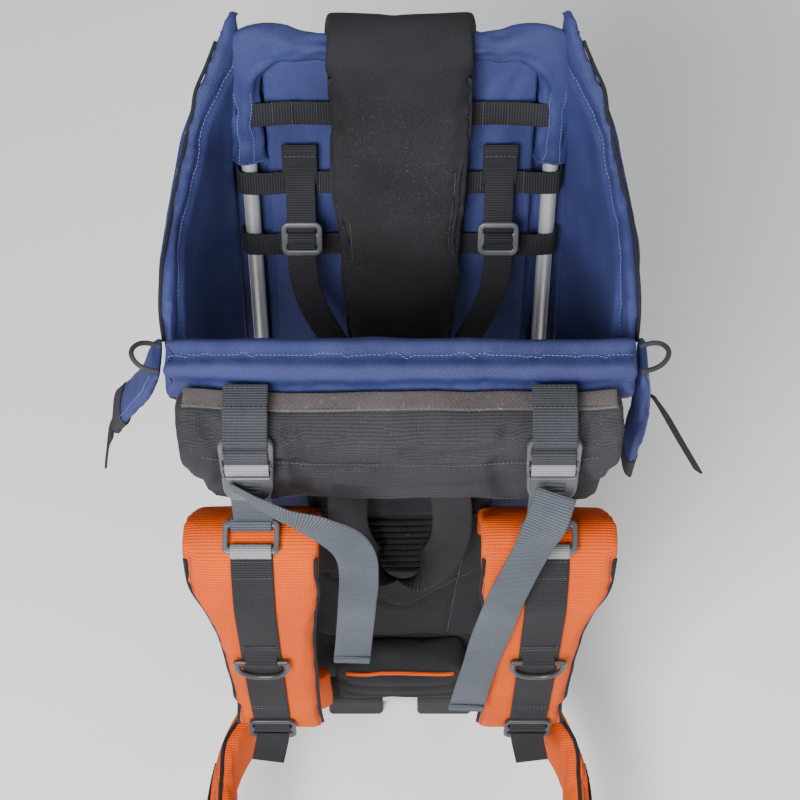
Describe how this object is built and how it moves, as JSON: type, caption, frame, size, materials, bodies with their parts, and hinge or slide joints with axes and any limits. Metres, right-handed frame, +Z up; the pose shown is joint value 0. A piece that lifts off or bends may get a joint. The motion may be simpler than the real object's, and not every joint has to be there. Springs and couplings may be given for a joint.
{
  "type": "baby carrier backpack",
  "caption": "Framed child carrier backpack with a padded child seat, harness, shoulder straps, hip fins and a fold-out kickstand.",
  "frame": {"origin": "centre of the bounding box at floor level, under the standing carrier", "axes": "+Z up, +Y from the wearer's back towards the child, +X across the shoulders"},
  "size_m": [0.4258, 0.5644, 0.6721],
  "materials": {
    "tube_aluminium": "satin",
    "black_plastic": "matte",
    "grey_plastic": "matte",
    "button_red": "gloss",
    "bolt_steel": "satin",
    "foot_rubber": "matte",
    "blue_fabric": "woven",
    "charcoal_fabric": "woven",
    "orange_mesh": "mesh",
    "black_fabric": "woven",
    "black_webbing": "ribbed",
    "grey_webbing": "ribbed"
  },
  "bodies": {
    "carrier": {"back_ladder": "black_fabric", "back_panel": "black_fabric", "base_feet": "foot_rubber", "child_back_pad": "charcoal_fabric", "child_harness_straps": "black_webbing", "clamp_screws": "bolt_steel", "cord_loops": "black_webbing", "crotch_strap": "black_webbing", "cushion_edge_band": "grey_webbing", "d_ring_keepers": "black_webbing", "frame_clamps": "black_plastic", "front_collar": "blue_fabric", "front_cushion": "charcoal_fabric", "front_lining": "blue_fabric", "grab_handle": "black_webbing", "harness_buckle_body": "black_plastic", "harness_yoke": "black_fabric", "hinge_brackets": "black_plastic", "load_anchor_webbing": "grey_webbing", "load_webbing": "grey_webbing", "loose_strap_ends": "black_webbing", "lower_straps": "black_webbing", "lumbar_pad": "black_fabric", "lumbar_trim": "orange_mesh", "main_frame_tube": "tube_aluminium", "pivot_bolts": "bolt_steel", "rear_frame_tube": "tube_aluminium", "rear_panel": "blue_fabric", "rear_webbing_bands": "black_webbing", "seat_cushion": "charcoal_fabric", "shoulder_pad_left": "orange_mesh", "shoulder_pad_right": "orange_mesh", "shoulder_rings": "grey_plastic", "shoulder_webbing": "black_webbing", "side_flaps": "blue_fabric", "side_straps": "black_webbing", "storage_bag": "blue_fabric", "storage_zip": "black_webbing", "strap_adjusters": "grey_plastic", "wing_left": "blue_fabric", "wing_right": "blue_fabric"},
    "kickstand": {"kickstand_tube": "tube_aluminium", "kickstand_knuckles": "black_plastic", "kickstand_feet": "foot_rubber"},
    "load_lock_left": {"load_buckle_left": "grey_plastic", "load_tail_left": "grey_webbing"},
    "load_lock_right": {"load_buckle_right": "grey_plastic", "load_tail_right": "grey_webbing"},
    "d_ring_left": {"d_ring_left": "black_plastic"},
    "d_ring_right": {"d_ring_right": "black_plastic"},
    "harness_slider_left": {"harness_slider_left": "grey_plastic"},
    "harness_slider_right": {"harness_slider_right": "grey_plastic"},
    "zip_slider": {"zip_slider": "black_plastic"},
    "harness_button": {"harness_buckle_button": "button_red"},
    "hip_fin_left": {"hip_fin_left": "orange_mesh", "hip_strap_left": "black_webbing", "hip_buckle_socket": "black_plastic"},
    "hip_fin_right": {"hip_fin_right": "orange_mesh", "hip_strap_right": "black_webbing", "hip_buckle_plug": "black_plastic"}
  },
  "joints": [
    {"name": "kickstand_fold", "type": "hinge", "parent": "carrier", "child": "kickstand", "pos_m": [0, 0.11975, 0.2314], "axis": [1, 0, 0], "range_deg": [-54, 0]},
    {"name": "load_lock_left_tilt", "type": "hinge", "parent": "carrier", "child": "load_lock_left", "pos_m": [-0.102, -0.07785, 0.564], "axis": [1, 0, 0], "range_deg": [-40, 0]},
    {"name": "load_lock_right_tilt", "type": "hinge", "parent": "carrier", "child": "load_lock_right", "pos_m": [0.102, -0.07785, 0.564], "axis": [1, 0, 0], "range_deg": [-40, 0]},
    {"name": "d_ring_left_swing", "type": "hinge", "parent": "carrier", "child": "d_ring_left", "pos_m": [-0.104, -0.12935, 0.33], "axis": [1, 0, 0], "range_deg": [-90, 0]},
    {"name": "d_ring_right_swing", "type": "hinge", "parent": "carrier", "child": "d_ring_right", "pos_m": [0.104, -0.12935, 0.33], "axis": [1, 0, 0], "range_deg": [-90, 0]},
    {"name": "harness_slider_left_slide", "type": "slide", "parent": "carrier", "child": "harness_slider_left", "axis": [0, 0.4612, 0.8873], "range_m": [0, 0.03]},
    {"name": "harness_slider_right_slide", "type": "slide", "parent": "carrier", "child": "harness_slider_right", "axis": [0, 0.4612, 0.8873], "range_m": [0, 0.03]},
    {"name": "zip_slider_slide", "type": "slide", "parent": "carrier", "child": "zip_slider", "axis": [1, 0, 0], "range_m": [0, 0.156]},
    {"name": "harness_button_press", "type": "slide", "parent": "carrier", "child": "harness_button", "axis": [0, 1, 0], "range_m": [0, 0.003], "stiffness_N_per_m": 400},
    {"name": "hip_fin_left_swing", "type": "hinge", "parent": "carrier", "child": "hip_fin_left", "pos_m": [-0.0643, -0.05385, 0.113], "axis": [0, 0, 1], "range_deg": [-11, 20]},
    {"name": "hip_fin_right_swing", "type": "hinge", "parent": "carrier", "child": "hip_fin_right", "pos_m": [0.0643, -0.05385, 0.113], "axis": [0, 0, 1], "range_deg": [-20, 11]}
  ]
}
